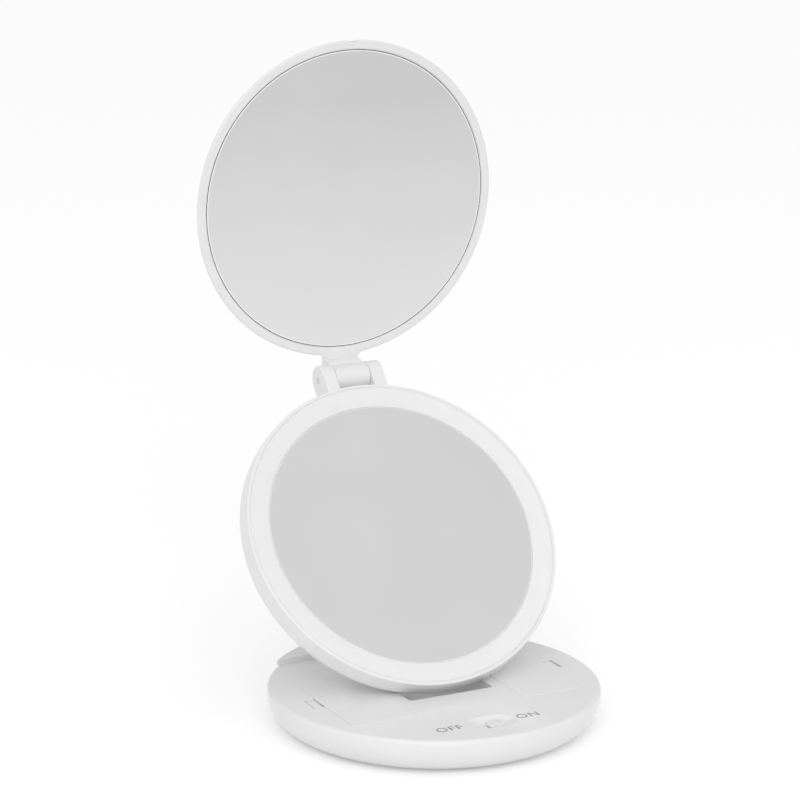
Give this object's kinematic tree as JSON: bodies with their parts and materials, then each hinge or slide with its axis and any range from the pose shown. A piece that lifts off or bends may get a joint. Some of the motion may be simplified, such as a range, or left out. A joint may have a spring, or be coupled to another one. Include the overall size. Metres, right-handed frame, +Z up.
{
  "type": "folding lit compact mirror",
  "caption": "White round compact makeup mirror: a battery base, a lit round mirror on a folding arm, and a hinged mirror lid that closes over it.",
  "frame": {"origin": "centre of the round foot pad's underside, on the table", "axes": "+Z up, the user is on the -Y side, +X to the user's right"},
  "size_m": [0.1306, 0.1524, 0.2575],
  "materials": {
    "white_gloss": "glossy moulded white plastic",
    "white_satin": "fine satin white plastic",
    "knob_plastic": "satin pale grey-white plastic",
    "diffuser": "milky white light diffuser",
    "mirror_glass": "silvered glass, ground edge",
    "steel_pin": "drawn steel",
    "steel_screw": "plated steel",
    "steel_bracket": "pressed steel",
    "contact_metal": "nickel-plated strip",
    "cell_jacket": "plain shrink jacket",
    "board": "white solder mask",
    "led": "phosphor under clear resin",
    "switch_black": "moulded black plastic",
    "bush_plastic": "natural nylon-like plastic",
    "pad_rubber": "matt rubber",
    "foam_tape": "foam tape"
  },
  "bodies": {
    "base": {"base_housing": "white_gloss", "base_bottom_plate": "white_satin", "base_screws": "steel_screw", "foot_pad": "pad_rubber", "rear_hinge_cover": "white_gloss", "battery_cells_right": "cell_jacket", "battery_cells_left": "cell_jacket", "battery_contacts_right": "contact_metal", "battery_contacts_left": "contact_metal", "switch_board": "board", "slide_switch_body": "switch_black", "arm_hinge_pin": "steel_pin"},
    "knob": {"switch_knob": "knob_plastic"},
    "cover_right": {"battery_cover_right": "white_gloss"},
    "cover_left": {"battery_cover_left": "white_gloss"},
    "arm": {"support_arm": "white_gloss", "arm_rear_cover": "white_gloss", "arm_bushes": "bush_plastic"},
    "head": {"head_rear_shell": "white_gloss", "light_ring": "diffuser", "head_mirror": "mirror_glass", "mirror_carrier": "white_satin", "led_board": "board", "led_chips": "led", "head_screws": "steel_screw", "tilt_bracket": "steel_bracket", "bracket_screws": "steel_screw", "tilt_pin": "steel_pin", "tilt_washers": "steel_pin", "lid_hinge_pin": "steel_pin"},
    "lid": {"lid_back_shell": "white_gloss", "lid_front_frame": "white_gloss", "lid_mirror": "mirror_glass", "lid_mirror_pad": "foam_tape"}
  },
  "joints": [
    {"name": "arm_fold", "type": "hinge", "parent": "base", "child": "arm", "pos_m": [0, 0.0495, 0.0117], "axis": [-1, 0, 0], "range_deg": [-79.3, 0]},
    {"name": "head_tilt", "type": "hinge", "parent": "arm", "child": "head", "pos_m": [0, 0.04166, 0.05882], "axis": [-1, 0, 0], "range_deg": [0, 129.96]},
    {"name": "lid_hinge", "type": "hinge", "parent": "head", "child": "lid", "pos_m": [0, 0.07656, 0.12093], "axis": [-1, 0, 0], "range_deg": [-135.44, 44.56]},
    {"name": "switch_slide", "type": "slide", "parent": "base", "child": "knob", "axis": [1, 0, 0], "range_m": [-0.0026, 0]},
    {"name": "cover_right_open", "type": "hinge", "parent": "base", "child": "cover_right", "pos_m": [0.022, 0, 0.0132], "axis": [0, -1, 0], "range_deg": [0, 12]},
    {"name": "cover_left_open", "type": "hinge", "parent": "base", "child": "cover_left", "pos_m": [-0.022, 0, 0.0132], "axis": [0, 1, 0], "range_deg": [0, 12]}
  ],
  "couplings": [
    {"joint": "head_tilt", "follows": "arm_fold", "ratio": -1.6387}
  ]
}
